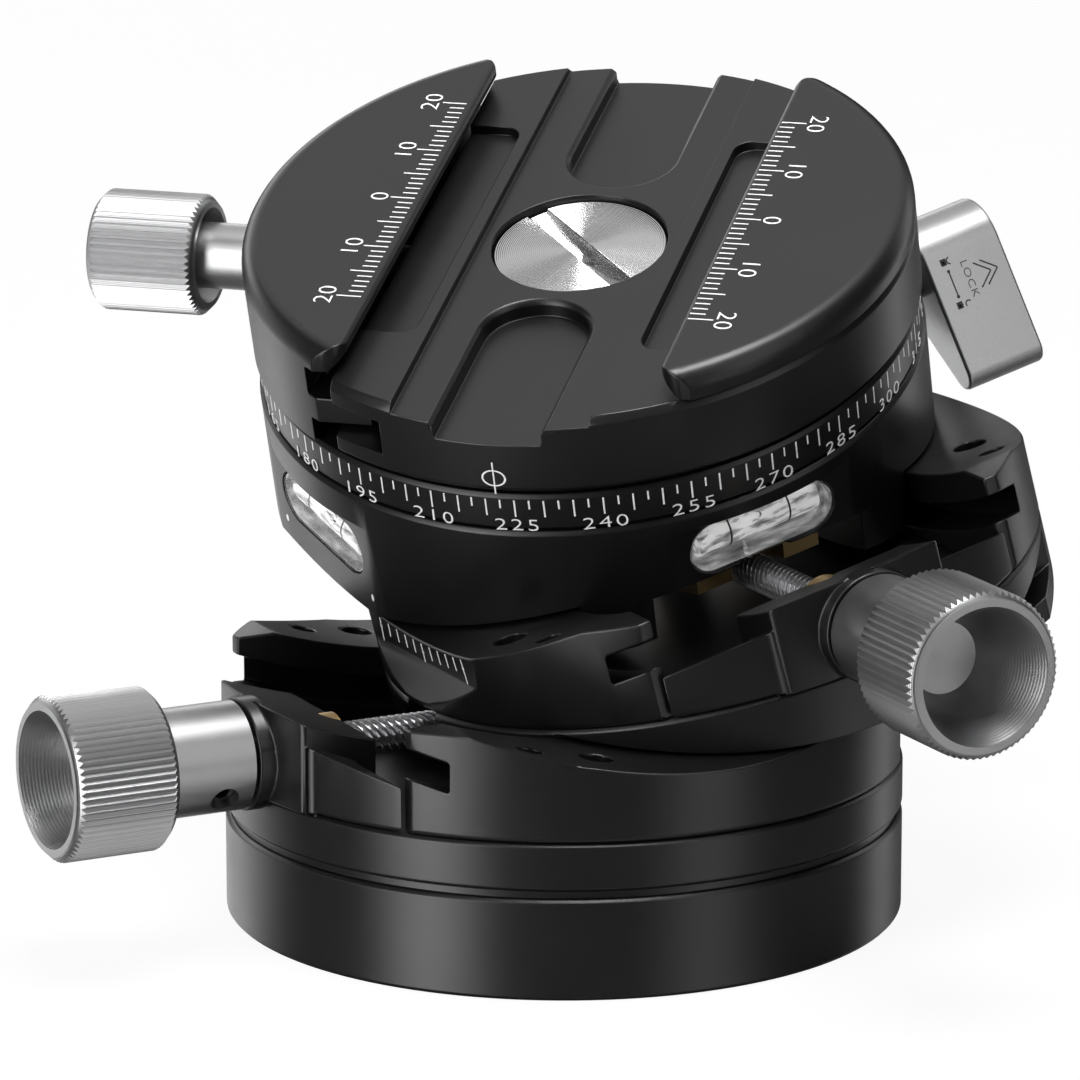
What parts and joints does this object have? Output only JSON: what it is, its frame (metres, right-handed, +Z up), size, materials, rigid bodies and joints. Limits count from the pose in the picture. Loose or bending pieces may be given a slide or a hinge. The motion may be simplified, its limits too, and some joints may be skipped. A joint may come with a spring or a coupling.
{
  "type": "geared tripod head",
  "caption": "Geared tripod head: crossed arc slides driven by worm knobs over brass racks carry a panning dovetail plate clamp with a screw knob, bubble levels and a lock lever.",
  "frame": {"origin": "centre of the base's flat underside, on the axis of the tripod thread", "axes": "+Z up along the tripod thread axis, -X towards the lower tilt knob, -Y towards the upper tilt knob"},
  "size_m": [0.1235, 0.1151, 0.0831],
  "materials": {
    "black_anodised": "fine bead blasted satin black",
    "silver_anodised": "satin turned",
    "steel": "machined",
    "brass": "machined",
    "vial": "clear moulded"
  },
  "bodies": {
    "base": {"base_plate": "black_anodised", "tripod_bush": "steel", "base_screws": "steel", "lower_stage_plate": "black_anodised", "lower_rail_front": "black_anodised", "lower_rail_back": "black_anodised", "lower_rail_screws": "steel", "lower_rail_dowels": "steel", "lower_knob_block": "black_anodised", "lower_shaft_bush": "brass", "lower_worm_post": "steel"},
    "lower_drive": {"lower_worm": "steel", "lower_knob": "silver_anodised", "lower_knob_grub_screw": "steel"},
    "middle": {"middle_plate": "black_anodised", "lower_rack": "brass", "upper_rail_right": "black_anodised", "upper_rail_left": "black_anodised", "upper_rail_screws": "steel", "upper_rail_dowels": "steel", "upper_knob_block": "black_anodised", "upper_shaft_bush": "brass", "upper_worm_post": "steel"},
    "upper_drive": {"upper_worm": "steel", "upper_knob": "silver_anodised", "upper_knob_grub_screw": "steel"},
    "top": {"top_body": "black_anodised", "upper_rack": "brass", "left_vial": "vial", "front_vial": "vial", "degree_ring": "black_anodised", "pan_spindle": "steel", "slip_washer": "brass", "brake_shoe": "brass", "middle_screw": "steel"},
    "lever": {"lock_lever": "silver_anodised", "lever_shaft": "steel"},
    "clamp": {"clamp_base": "black_anodised"},
    "jaw": {"moving_jaw": "black_anodised", "jaw_guide_pins": "steel"},
    "clamp_drive": {"clamp_screw": "steel", "clamp_knob": "silver_anodised"}
  },
  "joints": [
    {"name": "lower_tilt", "type": "hinge", "parent": "base", "child": "middle", "pos_m": [0, 0, 0.0983], "axis": [0, 1, 0], "range_deg": [0, 30]},
    {"name": "lower_knob_turn", "type": "hinge", "parent": "base", "child": "lower_drive", "pos_m": [0, 0, 0.021], "axis": [1, 0, 0], "range_deg": [0, 2032]},
    {"name": "upper_tilt", "type": "hinge", "parent": "middle", "child": "top", "pos_m": [-0.00357, 0, 0.11163], "axis": [-0.9659, 0, -0.2588], "range_deg": [0, 30]},
    {"name": "upper_knob_turn", "type": "hinge", "parent": "middle", "child": "upper_drive", "pos_m": [0.01644, 0, 0.03696], "axis": [0, 1, 0], "range_deg": [0, 2032]},
    {"name": "pan", "type": "hinge", "parent": "top", "child": "clamp", "pos_m": [0.00995, 0.014, 0.06115], "axis": [-0.25, -0.2588, 0.933], "continuous": true},
    {"name": "lever_turn", "type": "hinge", "parent": "top", "child": "lever", "pos_m": [0.01285, 0.017, 0.05033], "axis": [0.9659, 0, 0.2588], "range_deg": [-45, 25]},
    {"name": "jaw_slide", "type": "slide", "parent": "clamp", "child": "jaw", "axis": [-0.7169, 0.6972, 0.0013], "range_m": [-0.0018, 0.0015]},
    {"name": "clamp_knob_turn", "type": "hinge", "parent": "jaw", "child": "clamp_drive", "pos_m": [-0.02316, 0.04449, 0.06438], "axis": [-0.7169, 0.6972, 0.0013], "range_deg": [-815, 680]}
  ],
  "couplings": [
    {"joint": "lower_knob_turn", "follows": "lower_tilt", "ratio": 67.679},
    {"joint": "upper_knob_turn", "follows": "upper_tilt", "ratio": 67.679},
    {"joint": "clamp_knob_turn", "follows": "jaw_slide", "rad_per_m": 7854}
  ]
}
